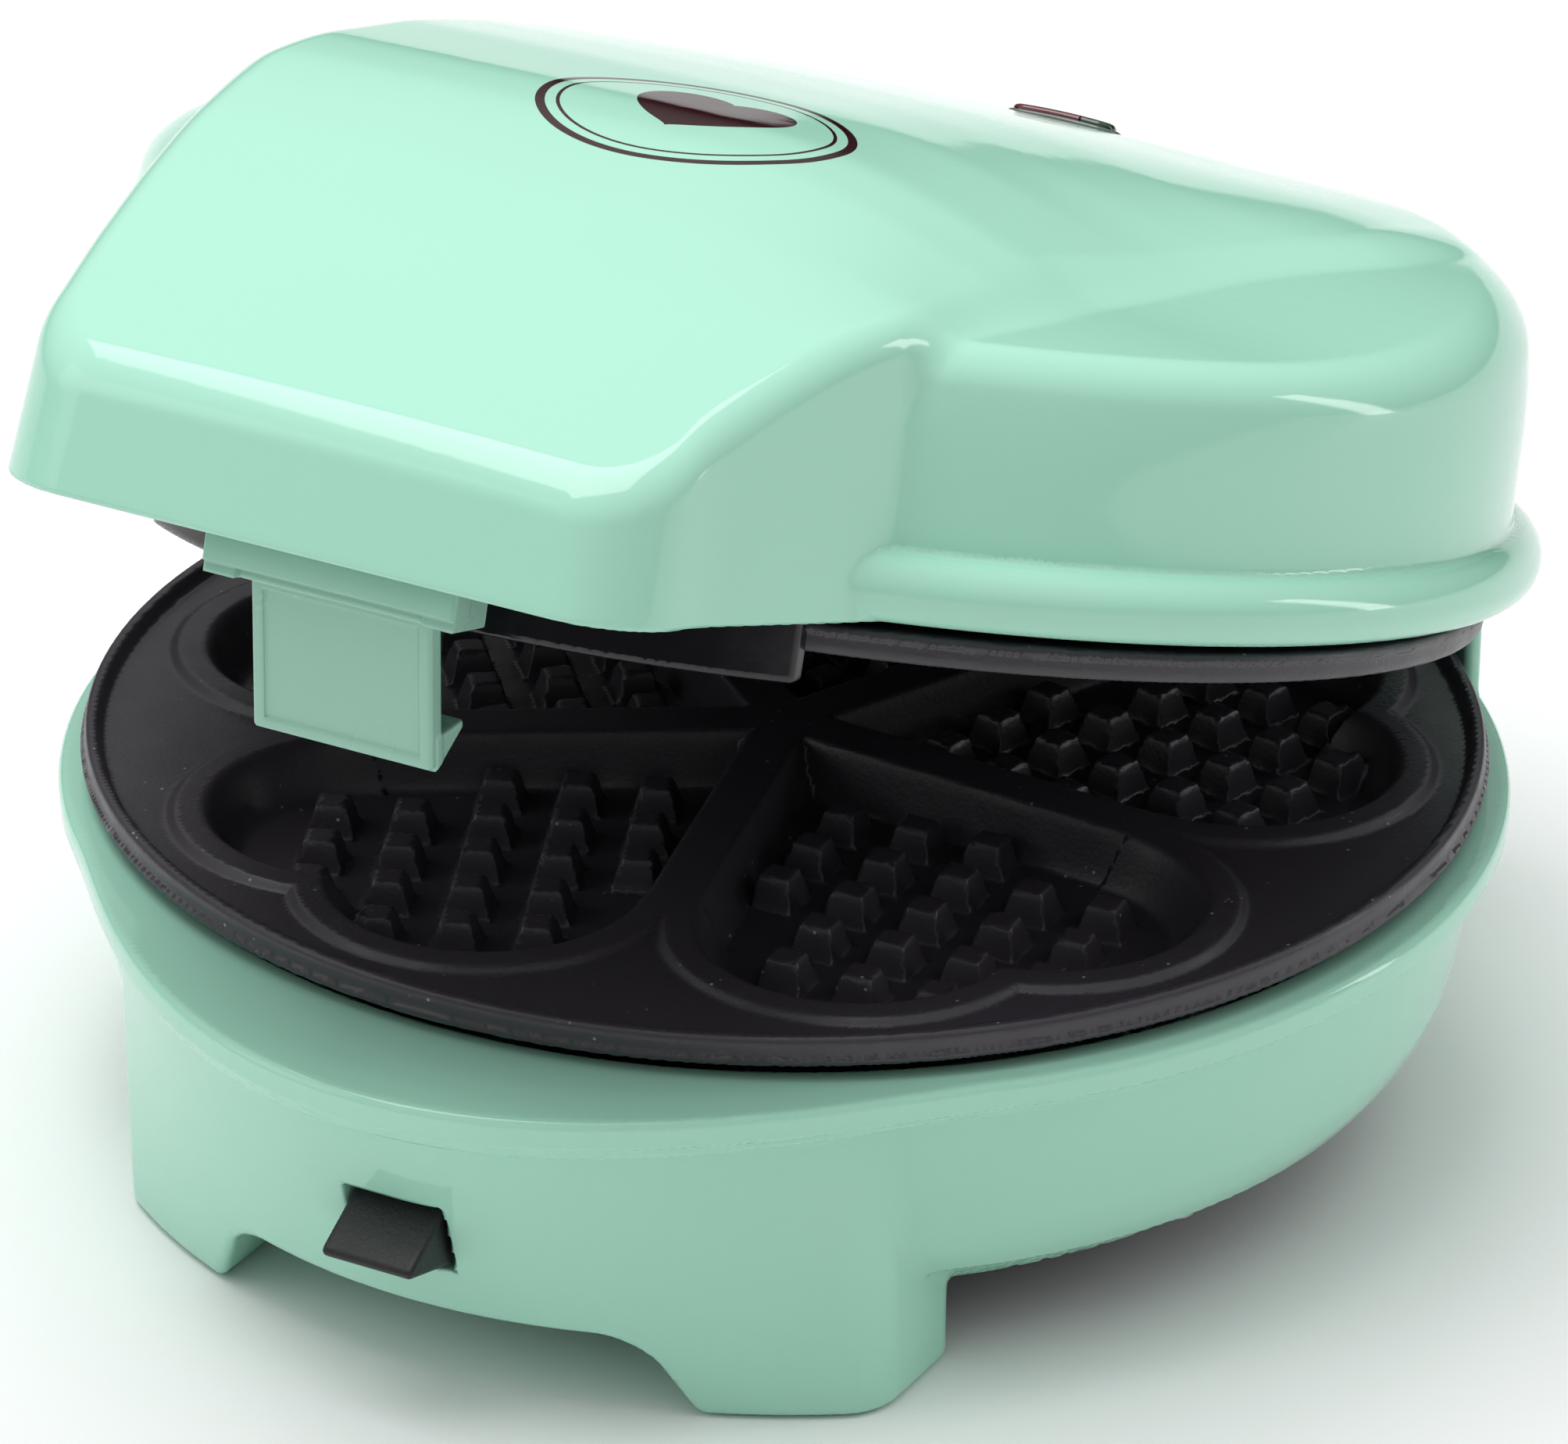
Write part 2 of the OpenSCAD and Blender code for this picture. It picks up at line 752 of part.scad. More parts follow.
// Dark frame that closes the lid's underside, with the front skirt
module lid_inner_cover() {
  color(black_plastic) on_lid() difference() {
    union() {
      translate([0, 0, lid_edge_z]) linear_extrude(height = 2.6) difference() {
        intersection() {
          union() {
            circle(r = drum_r - wall - 0.2);
            intersection() {
              lid_plan(wall + 0.9);
              translate([-70, -150]) square([140, 150]);
            }
          }
          translate([-120, -150]) square([240, 150 + 95.8]);
        }
        circle(r = 94.8);
      }
      skirt();
    }
    for (p = inner_boss_at) translate([p[0], p[1], 0]) cylinder(r = 2.1, h = 20);
    reflector_screw_places() cylinder(r = 3.3, h = 20);
    box([-button_w / 2 - 0.4, -125, slide_z - 2.9], [button_w / 2 + 0.4, -90, slide_z + 2.9]);
    box([-6, -112, 3], [6, -104, 12]);
    box([-tongue_x - 9, 84, 0], [tongue_x + 9, 99, 9]);
    box([-11, -104.5, -2], [11, -90, 20]);
  }
}

module skirt() {
  translate([0, 0, skirt_bottom_z]) linear_extrude(height = lid_edge_z - skirt_bottom_z + 1)
    intersection() {
      difference() {
        translate([0, skirt_cy]) circle(r = skirt_r);
        translate([0, skirt_cy]) circle(r = skirt_r - 2.2);
      }
      difference() {
        translate([-skirt_half, -140]) square([2 * skirt_half, 60]);
        circle(r = plate_r + 1);
      }
    }
}

slide_z = 0.6;

// Spring catch of the upper plate, pulled forward by a finger
module upper_release_slide() {
  color(black_plastic) on_lid() {
    box([-button_w / 2, -118, slide_z - 2.5], [button_w / 2, -104.2, slide_z + 2.5]);
    box([-5.5, -107.4, slide_z], [5.5, -104.2, 13]);
    box([-5.5, -107.4, 11], [5.5, -101.2, 13]);
  }
}

module upper_slide_spring() {
  color(steel) on_lid() translate([0, 0, 10.8]) difference() {
    cyl_y(2, -113.4, -110.55);
    cyl_y(1.2, -115, -105);
  }
}

module upside_down() {
  translate([0, 0, rim_gap]) mirror([0, 0, 1]) children();
}

module upper_reflector() { color(steel) on_lid() upside_down() reflector_upper(); }
module upper_heating_element() { color(dark_steel) on_lid() upside_down() element_ring(); }
module upper_element_brackets() { color(steel) on_lid() upside_down() element_brackets(); }
module upper_waffle_plate() { color(charcoal) on_lid() upside_down() waffle_plate(); }
module upper_plate_hooks() { color(steel) on_lid() upside_down() plate_hooks(); }
module upper_reflector_screws() { color(dark_steel) on_lid() upside_down() reflector_screws(); }

module reflector_upper() {
  difference() {
    reflector();
    translate([0, 0, -40]) cylinder(r = 9, h = 20);
    for (p = inner_boss_at) translate([p[0], p[1], -20]) cylinder(r = 4.5, h = 20);
    box([-60, 95.4, -20], [60, 105, 0]);
  }
}

module thermostat() {
  color(ceramic) on_lid() {
    translate([0, 0, 27.5]) cylinder(r = 8.6, h = 10);
    translate([0, 0, 37.5]) cylinder(r = 5.5, h = 3);
  }
}

module indicator_bezel() {
  color("#5b5f60") on_lid() difference() {
    translate([0, lens_y, lens_top_z - 6.6]) union() {
      linear_extrude(height = 5.7) stadium(18.9, 6.9);
      linear_extrude(height = 1.6) stadium(23, 10);
    }
    translate([0, lens_y, lens_top_z - 12]) linear_extrude(height = 20) stadium(17, 5);
  }
}

// Lens body that fills the bezel from x0 to x1
module lens(x0, x1) {
  on_lid() intersection() {
    translate([0, lens_y, lens_top_z - 6.4]) linear_extrude(height = 6.8) stadium(16.9, 4.9);
    translate([x0, lens_y - 10, 0]) cube([x1 - x0, 20, 80]);
  }
}

lens_split_x = 3.5;

module red_lens() { color([0.45, 0.05, 0.08, 0.8]) lens(-12, lens_split_x - 0.05); }
module green_lens() { color([0.08, 0.35, 0.12, 0.8]) lens(lens_split_x + 0.05, 12); }

module indicator_lamps() {
  color("#ffb070") on_lid() for (x = [-3, 6])
    translate([x, lens_y, lens_top_z - 15.4]) {
      cylinder(r = 1.6, h = 6);
      translate([0, 0, 6]) sphere(r = 1.6);
    }
}

module lamp_holder() {
  color(ceramic) on_lid() translate([0, lens_y, lens_top_z - 17.4])
    union() {
      linear_extrude(height = 2) square([29, 9], center = true);
      both_sides() translate([13, 2.6, 0]) cylinder(r = 1.5, h = 11.6);
    }
}

module lid_terminal_block() {
  color(ceramic) on_lid() translate([0, 39.8, rim_gap + 31.05]) terminal_block();
}

module lid_wires() {
  color("#c9b98f") on_lid() {
    upside_down() element_leads(45.85);
    both_sides() {
      translate([4, 0, 35.2]) cyl_y(wire_r, 7.9, 33.75);
      translate([2.4, 0, lens_top_z - 16.4]) cyl_y(0.9, 45.85, 70.45);
    }
  }
}

module inner_cover_screws() {
  color(steel) on_lid() for (p = inner_boss_at) translate([p[0], p[1], lid_edge_z]) {
    translate([0, 0, -1.2]) cylinder(r = 3.4, h = 1.2);
    translate([0, 0, -0.5]) cylinder(r = screw_r, h = 14);
  }
}

module hinge_pins() {
  color(steel) on_lid() both_sides()
    translate([(hinge_lug_in + hinge_lug_out) / 2 + 0.4, hinge_back, hinge_rise]) cyl_x(pin_r, 23);
}

// ---------------------------------------------------------------- latch

latch_y = -128.5;
latch_z = 3.4;
latch_pin_r = 1.5;
latch_t = 3;
hook_reach = 5.5;
hook_h = 4.4;

// Bracket under the handle: two ears and a front lip over the latch pivot
module latch_bracket() {
  color(mint) on_lid() difference() {
    union() {
      both_sides() box([latch_w / 2 + 0.5, latch_y - 4.6, 0.6], [latch_w / 2 + 5.5, latch_y + 4.5, lid_edge_z]);
      box([-latch_w / 2 - 5.5, latch_y - 4.6, 2.4], [latch_w / 2 + 5.5, latch_y - 3.2, lid_edge_z]);
    }
    translate([0, latch_y, latch_z - 0.6]) cyl_x(latch_pin_r, 60);
  }
}

module at_latch() {
  on_lid() translate([0, latch_y, latch_z - 0.6]) rotate([lid_rest_angle, 0, 0]) children();
}

module latch_tab() {
  color(mint) at_latch() difference() {
    union() {
      cyl_x(2.6, latch_w);
      box([-latch_w / 2, -latch_t / 2, -latch_len], [latch_w / 2, latch_t / 2, 0]);
      along_x(latch_w)
        polygon([
          [latch_t / 2 - 0.1, -latch_len + hook_h], [latch_t / 2 + hook_reach, -latch_len + hook_h],
          [latch_t / 2 + hook_reach, -latch_len + hook_h - 1], [latch_t / 2 - 0.1, -latch_len]
        ]);
    }
    cyl_x(latch_pin_r + run_gap, latch_w + 2);
    box([-3.2, -5, -3.4], [3.2, 5, 4]);
  }
}

module latch_pin() { color(steel) at_latch() cyl_x(latch_pin_r, latch_w + 10.8); }

module latch_spring() {
  color(steel) at_latch() rotate([0, 90, 0]) difference() {
    cylinder(r = 2.4, h = 5.6, center = true);
    cylinder(r = 1.65, h = 8, center = true);
  }
}

// ---------------------------------------------------------------- drawing

base_shell();
bottom_cover();
rubber_feet();
lower_reflector();
lower_heating_element();
lower_element_brackets();
lower_waffle_plate();
lower_plate_hooks();
lower_release_lever();
lower_lever_pin();
lower_lever_spring();
hinge_pins();
base_terminal_block();
base_thermal_fuse();
base_wires();
cord_gland();
cord_clamp();
bottom_cover_screws();
lower_reflector_screws();
lid_shell();
lid_inner_cover();
upper_reflector();
upper_heating_element();
upper_element_brackets();
upper_waffle_plate();
upper_plate_hooks();
upper_release_slide();
upper_slide_spring();
thermostat();
indicator_bezel();
red_lens();
green_lens();
indicator_lamps();
lamp_holder();
lid_terminal_block();
lid_wires();
inner_cover_screws();
upper_reflector_screws();
latch_bracket();
latch_tab();
latch_pin();
latch_spring();
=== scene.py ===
import json
import math

import bpy
import numpy as np
from mathutils import Matrix, Vector


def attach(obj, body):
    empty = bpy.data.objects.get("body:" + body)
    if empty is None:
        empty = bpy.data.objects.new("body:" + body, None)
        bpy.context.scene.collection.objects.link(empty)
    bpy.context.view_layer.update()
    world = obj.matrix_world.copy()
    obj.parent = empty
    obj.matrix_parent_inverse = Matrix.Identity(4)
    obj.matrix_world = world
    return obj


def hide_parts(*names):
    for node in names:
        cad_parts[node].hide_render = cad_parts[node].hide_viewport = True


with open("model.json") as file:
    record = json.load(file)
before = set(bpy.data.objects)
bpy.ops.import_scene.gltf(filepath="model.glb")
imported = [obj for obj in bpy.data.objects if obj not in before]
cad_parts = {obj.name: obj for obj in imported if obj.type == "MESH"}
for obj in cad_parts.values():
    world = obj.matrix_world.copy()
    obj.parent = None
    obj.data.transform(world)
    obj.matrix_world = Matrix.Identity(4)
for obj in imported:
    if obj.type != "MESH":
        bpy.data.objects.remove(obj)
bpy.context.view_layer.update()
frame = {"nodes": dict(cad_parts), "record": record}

MM = 0.001
PLATE_Y = 1.6
PLATE_Z = 60.0
HINGE_Y = 114.0
HINGE_Z = 23.0
LID_ANGLE = math.radians(16.2)


# ------------------------------------------------------------------ placing
def on_base(p):
    """Points in the plate frame (mm, z = 0 where the plates meet) to the row frame."""
    return (p + np.array([0.0, PLATE_Y, PLATE_Z])) * MM


def turn_lid(p):
    c, s = math.cos(-LID_ANGLE), math.sin(-LID_ANGLE)
    y, z = p[:, 1], p[:, 2]
    return np.stack([p[:, 0], y * c - z * s, y * s + z * c], -1)


def on_lid(p):
    """Points in the closed lid's frame to the row frame, with the lid ajar."""
    hinge = np.array([0.0, HINGE_Y, HINGE_Z])
    return on_base(turn_lid(p - hinge) + hinge)


LATCH_PIVOT = np.array([0.0, -128.5, 2.8])


def on_latch(p):
    """Points hanging from the latch's pivot, which is upright at rest."""
    pivot = on_lid(LATCH_PIVOT[None, :])[0]
    return pivot + p * MM


# ------------------------------------------------------------------ shapes
def cut_round(a, b, r):
    """Common part of two solids, with the edge between them rounded."""
    return np.minimum(np.maximum(a, b), -r) + np.hypot(np.maximum(a + r, 0), np.maximum(b + r, 0))


def join_round(a, b, r):
    """Both solids together, with a fillet where they meet."""
    return -cut_round(-a, -b, r)


def smooth_step(t):
    t = np.clip(t, 0, 1)
    return t * t * (3 - 2 * t)


def smooth_curve(points, sigma, step=0.25):
    """A softened polyline through points, as a function and its slope."""
    xs = np.array([p[0] for p in points], float)
    ys = np.array([p[1] for p in points], float)
    grid = np.arange(xs[0] - 20, xs[-1] + 20, step)
    first = (ys[1] - ys[0]) / (xs[1] - xs[0])
    last = (ys[-1] - ys[-2]) / (xs[-1] - xs[-2])
    vals = np.interp(grid, xs, ys)
    vals = np.where(grid < xs[0], ys[0] + first * (grid - xs[0]), vals)
    vals = np.where(grid > xs[-1], ys[-1] + last * (grid - xs[-1]), vals)
    reach = int(4 * sigma / step)
    k = np.exp(-0.5 * (np.arange(-reach, reach + 1) * step / sigma) ** 2)
    k /= k.sum()
    padded = np.concatenate([
        vals[0] + first * step * np.arange(-reach, 0),
        vals,
        vals[-1] + last * step * np.arange(1, reach + 1),
    ])
    soft = np.convolve(padded, k, "valid")
    slope = np.gradient(soft, step)
    return (lambda q: np.interp(q, grid, soft)), (lambda q: np.interp(q, grid, slope))


CORNERS = np.array([(i, j, k) for i in (0, 1) for j in (0, 1) for k in (0, 1)])
EDGES = [(a, b) for a in range(8) for b in range(a + 1, 8) if np.abs(CORNERS[a] - CORNERS[b]).sum() == 1]


def surface(shape, low, high, cell):
    """Vertices, quads and normals of the surface where shape(x, y, z) = 0."""
    axes = [np.arange(low[i], high[i] + cell, cell) for i in range(3)]
    x, y, z = axes[0][:, None, None], axes[1][None, :, None], axes[2][None, None, :]
    field = np.broadcast_to(shape(x, y, z), [len(a) for a in axes]).astype(np.float32)
    inside = field < 0
    n = [len(a) - 1 for a in axes]
    count = np.zeros(n, np.int8)
    for c in CORNERS:
        count += inside[c[0]:c[0] + n[0], c[1]:c[1] + n[1], c[2]:c[2] + n[2]]
    cells = np.argwhere((count > 0) & (count < 8))
    ids = np.full(n, -1, np.int64)
    ids[tuple(cells.T)] = np.arange(len(cells))
    value = np.stack([field[tuple((cells + c).T)] for c in CORNERS], -1)
    total = np.zeros((len(cells), 3))
    hits = np.zeros(len(cells))
    for a, b in EDGES:
        va, vb = value[:, a], value[:, b]
        cross = (va < 0) != (vb < 0)
        t = np.where(cross, va / np.where(va == vb, 1, va - vb), 0)
        p = CORNERS[a] + t[:, None] * (CORNERS[b] - CORNERS[a])
        total += np.where(cross[:, None], p, 0)
        hits += cross
    origin = np.array([a[0] for a in axes])
    points = origin + (cells + total / hits[:, None]) * cell
    quads = []
    for axis in range(3):
        u, v = (axis + 1) % 3, (axis + 2) % 3
        here = [slice(None)] * 3
        there = [slice(None)] * 3
        here[axis] = slice(0, -1)
        there[axis] = slice(1, None)
        first = inside[tuple(here)]
        changes = np.argwhere(first != inside[tuple(there)])
        limit = (changes[:, u] > 0) & (changes[:, v] > 0)
        limit &= (changes[:, u] < n[u]) & (changes[:, v] < n[v])
        changes = changes[limit]
        step_u = np.eye(3, dtype=int)[u]
        step_v = np.eye(3, dtype=int)[v]
        ring = [changes - step_u - step_v, changes - step_v, changes, changes - step_u]
        quad = np.stack([ids[tuple(r.T)] for r in ring], -1)
        outward = first[tuple(changes.T)]
        quad = np.where(outward[:, None], quad, quad[:, ::-1])
        quads.append(quad)
    quads = np.concatenate(quads)

    def gradient(p, e=0.05):
        g = []
        for k in range(3):
            d = np.zeros(3)
            d[k] = e
            a, b = p + d, p - d
            g.append((shape(a[:, 0], a[:, 1], a[:, 2]) - shape(b[:, 0], b[:, 1], b[:, 2])) / (2 * e))
        return np.stack(g, -1)

    for _ in range(3):
        g = gradient(points)
        f = shape(points[:, 0], points[:, 1], points[:, 2])
        move = f[:, None] * g / np.maximum((g * g).sum(-1), 0.25)[:, None]
        size = np.linalg.norm(move, axis=1)
        move *= np.minimum(1, 0.6 * cell / np.maximum(size, 1e-9))[:, None]
        points = points - move
    g = gradient(points, 0.12)
    normals = g / np.maximum(np.linalg.norm(g, axis=1), 1e-9)[:, None]
    return points, quads, normals


def add_mesh(name, points, faces, normals=None):
    mesh = bpy.data.meshes.new(name)
    mesh.from_pydata(points.tolist(), [], np.asarray(faces).tolist())
    mesh.update()
    mesh.polygons.foreach_set("use_smooth", np.ones(len(mesh.polygons), bool))
    if normals is not None:
        mesh.normals_split_custom_set_from_vertices(normals.tolist())
    obj = bpy.data.objects.new(name, mesh)
    bpy.context.scene.collection.objects.link(obj)
    return obj


def solid(name, shape, low, high, cell, place, body, nodes, material):
    """A piece of the object made from a shape function, in place of CAD nodes."""
    points, quads, normals = surface(shape, low, high, cell)
    if place is on_lid:
        normals = turn_lid(normals)
    obj = add_mesh(name, place(points), quads, normals)
    obj.data.materials.append(material)
    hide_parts(*nodes)
    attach(obj, body)
    return obj


# ------------------------------------------------------------------ materials
def linear(c):
    return tuple(v / 12.92 if v <= 0.04045 else ((v + 0.055) / 1.055) ** 2.4 for v in c)


class Nodes:
    """Small helper that builds a shader tree."""

    def __init__(self, name):
        self.material = bpy.data.materials.new(name)
        self.material.use_nodes = True
        self.tree = self.material.node_tree
        self.shader = self.tree.nodes["Principled BSDF"]
        self.coords = self.tree.nodes.new("ShaderNodeTexCoord")

    def set(self, **values):
        for key, value in values.items():
            self.shader.inputs[key.replace("_", " ")].default_value = value

    def link(self, a, b):
        self.tree.links.new(a, b)

    def noise(self, scale, detail=2.0):
        n = self.tree.nodes.new("ShaderNodeTexNoise")
        n.inputs["Scale"].default_value = scale
        n.inputs["Detail"].default_value = detail
        self.link(self.coords.outputs["Object"], n.inputs["Vector"])
        return n.outputs["Fac"]

    def stretched_noise(self, scale, stretch, detail=2.0):
        m = self.tree.nodes.new("ShaderNodeMapping")
        m.inputs["Scale"].default_value = stretch
        self.link(self.coords.outputs["Object"], m.inputs["Vector"])
        n = self.tree.nodes.new("ShaderNodeTexNoise")
        n.inputs["Scale"].default_value = scale
        n.inputs["Detail"].default_value = detail
        self.link(m.outputs["Vector"], n.inputs["Vector"])
        return n.outputs["Fac"]

    def specks(self, scale, size):
        v = self.tree.nodes.new("ShaderNodeTexVoronoi")
        v.inputs["Scale"].default_value = scale
        self.link(self.coords.outputs["Object"], v.inputs["Vector"])
        return self.spread(v.outputs["Distance"], size, size * 0.5, 0, 1)

    def spread(self, source, a0, a1, b0, b1):
        m = self.tree.nodes.new("ShaderNodeMapRange")
        for key, value in (("From Min", a0), ("From Max", a1), ("To Min", b0), ("To Max", b1)):
            m.inputs[key].default_value = value
        self.link(source, m.inputs["Value"])
        return m.outputs["Result"]

    def mix(self, fac, a, b):
        m = self.tree.nodes.new("ShaderNodeMix")
        m.data_type = "RGBA"
        self.link(fac, m.inputs["Factor"])
        for value, socket in ((a, m.inputs[6]), (b, m.inputs[7])):
            if isinstance(value, tuple):
                socket.default_value = (*value, 1)
            else:
                self.link(value, socket)
        return m.outputs[2]

    def maths(self, operation, a, b=0.0, c=0.0):
        """A Math node whose inputs are numbers or other nodes' outputs."""
        m = self.tree.nodes.new("ShaderNodeMath")
        m.operation = operation
        for value, socket in zip((a, b, c), m.inputs):
            if isinstance(value, (int, float)):
                socket.default_value = value
            else:
                self.link(value, socket)
        return m.outputs[0]

    def to(self, source, key):
        self.link(source, self.shader.inputs[key])

    def bump(self, source, distance, strength=1.0):
        b = self.tree.nodes.new("ShaderNodeBump")
        b.inputs["Distance"].default_value = distance
        b.inputs["Strength"].default_value = strength
        self.link(source, b.inputs["Height"])
        self.link(b.outputs["Normal"], self.shader.inputs["Normal"])


def glossy_plastic(name, colour, rough=(0.06, 0.10), shade=0.97, peel=0.00002):
    n = Nodes(name)
    c = linear(colour)
    dark = tuple(v * shade for v in c)
    n.to(n.mix(n.noise(18, 3), c, dark), "Base Color")
    n.to(n.spread(n.noise(55, 4), 0.3, 0.7, *rough), "Roughness")
    n.set(IOR=1.52)
    n.bump(n.noise(260, 2), peel)
    return n.material


def matte_plastic(name, colour, rough=(0.42, 0.55), grain=0.00008):
    n = Nodes(name)
    c = linear(colour)
    n.to(n.mix(n.noise(30, 3), c, tuple(v * 0.85 for v in c)), "Base Color")
    n.to(n.spread(n.noise(90, 3), 0.3, 0.7, *rough), "Roughness")
    n.bump(n.noise(1500, 3), grain)
    return n.material


def non_stick(name):
    n = Nodes(name)
    dark, mid = linear((0.215, 0.20, 0.225)), linear((0.25, 0.235, 0.26))
    base = n.mix(n.noise(25, 3), dark, mid)
    speck = n.maths("MULTIPLY", n.specks(420, 0.13), n.spread(n.noise(140, 2), 0.56, 0.62, 0, 1))
    n.to(n.mix(speck, base, linear((0.62, 0.62, 0.64))), "Base Color")
    n.to(n.spread(n.noise(120, 4), 0.3, 0.7, 0.30, 0.42), "Roughness")
    n.set(IOR=1.5)
    n.bump(n.noise(1300, 4), 0.00006)
    return n.material


def metal(name, colour, rough=(0.22, 0.38)):
    n = Nodes(name)
    c = linear(colour)
    n.to(n.mix(n.noise(40, 3), c, tuple(v * 0.8 for v in c)), "Base Color")
    n.set(Metallic=1.0)
    n.to(n.spread(n.stretched_noise(300, (1, 8, 1), 3), 0.3, 0.7, *rough), "Roughness")
    n.bump(n.stretched_noise(900, (1, 10, 1), 2), 0.00003)
    return n.material


def lens_plastic(name, colour):
    n = Nodes(name)
    c = linear(colour)
    n.to(n.mix(n.noise(200, 2), c, tuple(v * 0.7 for v in c)), "Base Color")
    n.to(n.spread(n.noise(150, 2), 0.3, 0.7, 0.06, 0.12), "Roughness")
    n.set(IOR=1.55, Transmission_Weight=0.25, Coat_Weight=0.6, Coat_Roughness=0.05)
    n.bump(n.noise(400, 2), 0.00002)
    return n.material


def printed_plastic(name, colour, ink, centre, size):
    """Glossy plastic with an oval badge and a heart printed in ink on it."""
    n = Nodes(name)
    at = n.tree.nodes.new("ShaderNodeVectorMath")
    at.operation = "SUBTRACT"
    at.inputs[1].default_value = tuple(on_lid(np.array([centre]))[0])
    n.link(n.coords.outputs["Object"], at.inputs[0])
    turn = n.tree.nodes.new("ShaderNodeVectorRotate")
    turn.rotation_type = "X_AXIS"
    turn.inputs["Angle"].default_value = LID_ANGLE
    n.link(at.outputs[0], turn.inputs["Vector"])
    parts = n.tree.nodes.new("ShaderNodeSeparateXYZ")
    n.link(turn.outputs[0], parts.inputs[0])
    half_x, half_y = size[0] * MM / 2, size[1] * MM / 2
    u = n.maths("DIVIDE", parts.outputs["X"], half_x)
    v = n.maths("DIVIDE", parts.outputs["Y"], half_y)
    radius = n.maths("SQRT", n.maths("ADD", n.maths("MULTIPLY", u, u), n.maths("MULTIPLY", v, v)))
    outer = n.maths("COMPARE", radius, 0.97, 0.03)
    inner = n.maths("COMPARE", radius, 0.86, 0.012)
    # heart: (uu + vv - 1)^3 < uu * vv * hv
    hu = n.maths("DIVIDE", u, 0.44)
    hv = n.maths("DIVIDE", n.maths("ADD", v, -0.03), 0.46)
    uu, vv = n.maths("MULTIPLY", hu, hu), n.maths("MULTIPLY", hv, hv)
    circle = n.maths("ADD", n.maths("ADD", uu, vv), -1.0)
    cubed = n.maths("MULTIPLY", n.maths("POWER", n.maths("ABSOLUTE", circle), 3.0), n.maths("SIGN", circle))
    lobes = n.maths("MULTIPLY", uu, n.maths("MULTIPLY", vv, hv))
    level = n.maths("SUBTRACT", cubed, lobes)
    filled = n.maths("LESS_THAN", level, 0.0)
    on_top = n.maths("GREATER_THAN", parts.outputs["Z"], -0.012)
    mask = n.maths("MULTIPLY", n.maths("MAXIMUM", n.maths("MAXIMUM", outer, inner), filled), on_top)
    c = linear(colour)
    plain = n.mix(n.noise(18, 3), c, tuple(v * 0.97 for v in c))
    n.to(n.mix(mask, plain, linear(ink)), "Base Color")
    n.to(n.spread(n.noise(55, 4), 0.3, 0.7, 0.06, 0.10), "Roughness")
    n.set(IOR=1.52)
    n.bump(n.noise(260, 2), 0.00002)
    return n.material


MINT_COLOUR = (0.68, 0.90, 0.81)
MINT = glossy_plastic("mint_gloss", MINT_COLOUR)
# Mint of the latch and its hanger, darkened to 0.88 of the body's mint: painted shade for the shadow under
# the handle
SHADED_LATCH_MINT = glossy_plastic("mint_latch_shaded", (0.60, 0.79, 0.71), (0.2, 0.3))
PRINTED_MINT = printed_plastic("mint_gloss_printed", MINT_COLOUR, (0.24, 0.15, 0.16),
                               (0, -45, 61.5), (46, 44))
BLACK = matte_plastic("black_satin", (0.115, 0.112, 0.12))
SKIRT = glossy_plastic("skirt_gloss", (0.10, 0.095, 0.12), (0.12, 0.2), 0.8)
PLATE = non_stick("non_stick")
STEEL = metal("steel", (0.72, 0.72, 0.73))
DARK_STEEL = metal("oxidised_steel", (0.35, 0.32, 0.30), (0.4, 0.6))
CERAMIC = matte_plastic("ceramic", (0.88, 0.86, 0.80))
RUBBER = matte_plastic("rubber", (0.13, 0.13, 0.135), (0.7, 0.85), 0.0001)
FABRIC = matte_plastic("sleeving", (0.74, 0.69, 0.56), (0.8, 0.95), 0.0002)
RED = lens_plastic("red_lens", (0.42, 0.05, 0.10))
GREEN = lens_plastic("green_lens", (0.06, 0.26, 0.12))
BEZEL = lens_plastic("bezel_smoke", (0.42, 0.45, 0.44))
LAMP = lens_plastic("lamp_glass", (0.85, 0.70, 0.55))


# ------------------------------------------------------------------ lid
# Sizes in mm in the closed lid's frame: z = 0 where the plates meet, origin on the plates' axis.
LID_EDGE = 6.2
LID_WALL = 2.5
DRUM_R = 105.0
DRUM_DRAFT = 4.2
BEAD_R, BEAD_Z, BEAD_SIZE = 104.9, 11.0, 4.9
HANDLE_FRONT = -135.6
HANDLE_CORNER = 12.0
TAIL_SLOPE = math.radians(24.0)
TAIL_R = 13.5

# Band over the lid along y: its top line, and how far its two sides lie from the middle
band_top, band_slope = smooth_curve(
    [(-140, 20.5), (-127, 27.4), (-110, 37.6), (-95, 45.2), (-80, 51.8), (-68, 56), (-58, 59),
     (-46, 60.9), (-20, 61.4), (0, 60.3), (20, 58.6), (40, 56.1), (60, 53.3), (80, 50.5), (90, 48.4),
     (100, 45.8), (140, 35)], 3.0)
right_edge, right_flare = smooth_curve(
    [(-150, 47.5), (-136, 48), (-118, 49.6), (-93, 58.5), (-84, 61), (-40, 62), (0, 69.5), (30, 77), (56, 79),
     (72, 73), (84, 65), (95, 60), (106, 50), (130, 50)], 2.2)
left_edge, left_flare = smooth_curve(
    [(-150, 51.5), (-136, 52.3), (-125, 54.7), (-110, 58.2), (-95, 61.6), (-82, 64.4), (-60, 68.6),
     (0, 71.5), (50, 69), (84, 64.5), (95, 60), (106, 50), (130, 50)], 2.2)


def tail_roof(y, z, r):
    """Distance outside the sloping roof that rounds over the hinge barrel."""
    dy, dz = y - HINGE_Y, z - HINGE_Z
    along = dy * math.cos(TAIL_SLOPE) - dz * math.sin(TAIL_SLOPE)
    above = dy * math.sin(TAIL_SLOPE) + dz * math.cos(TAIL_SLOPE)
    return np.where(along > 0, np.hypot(dy, dz), above) - r


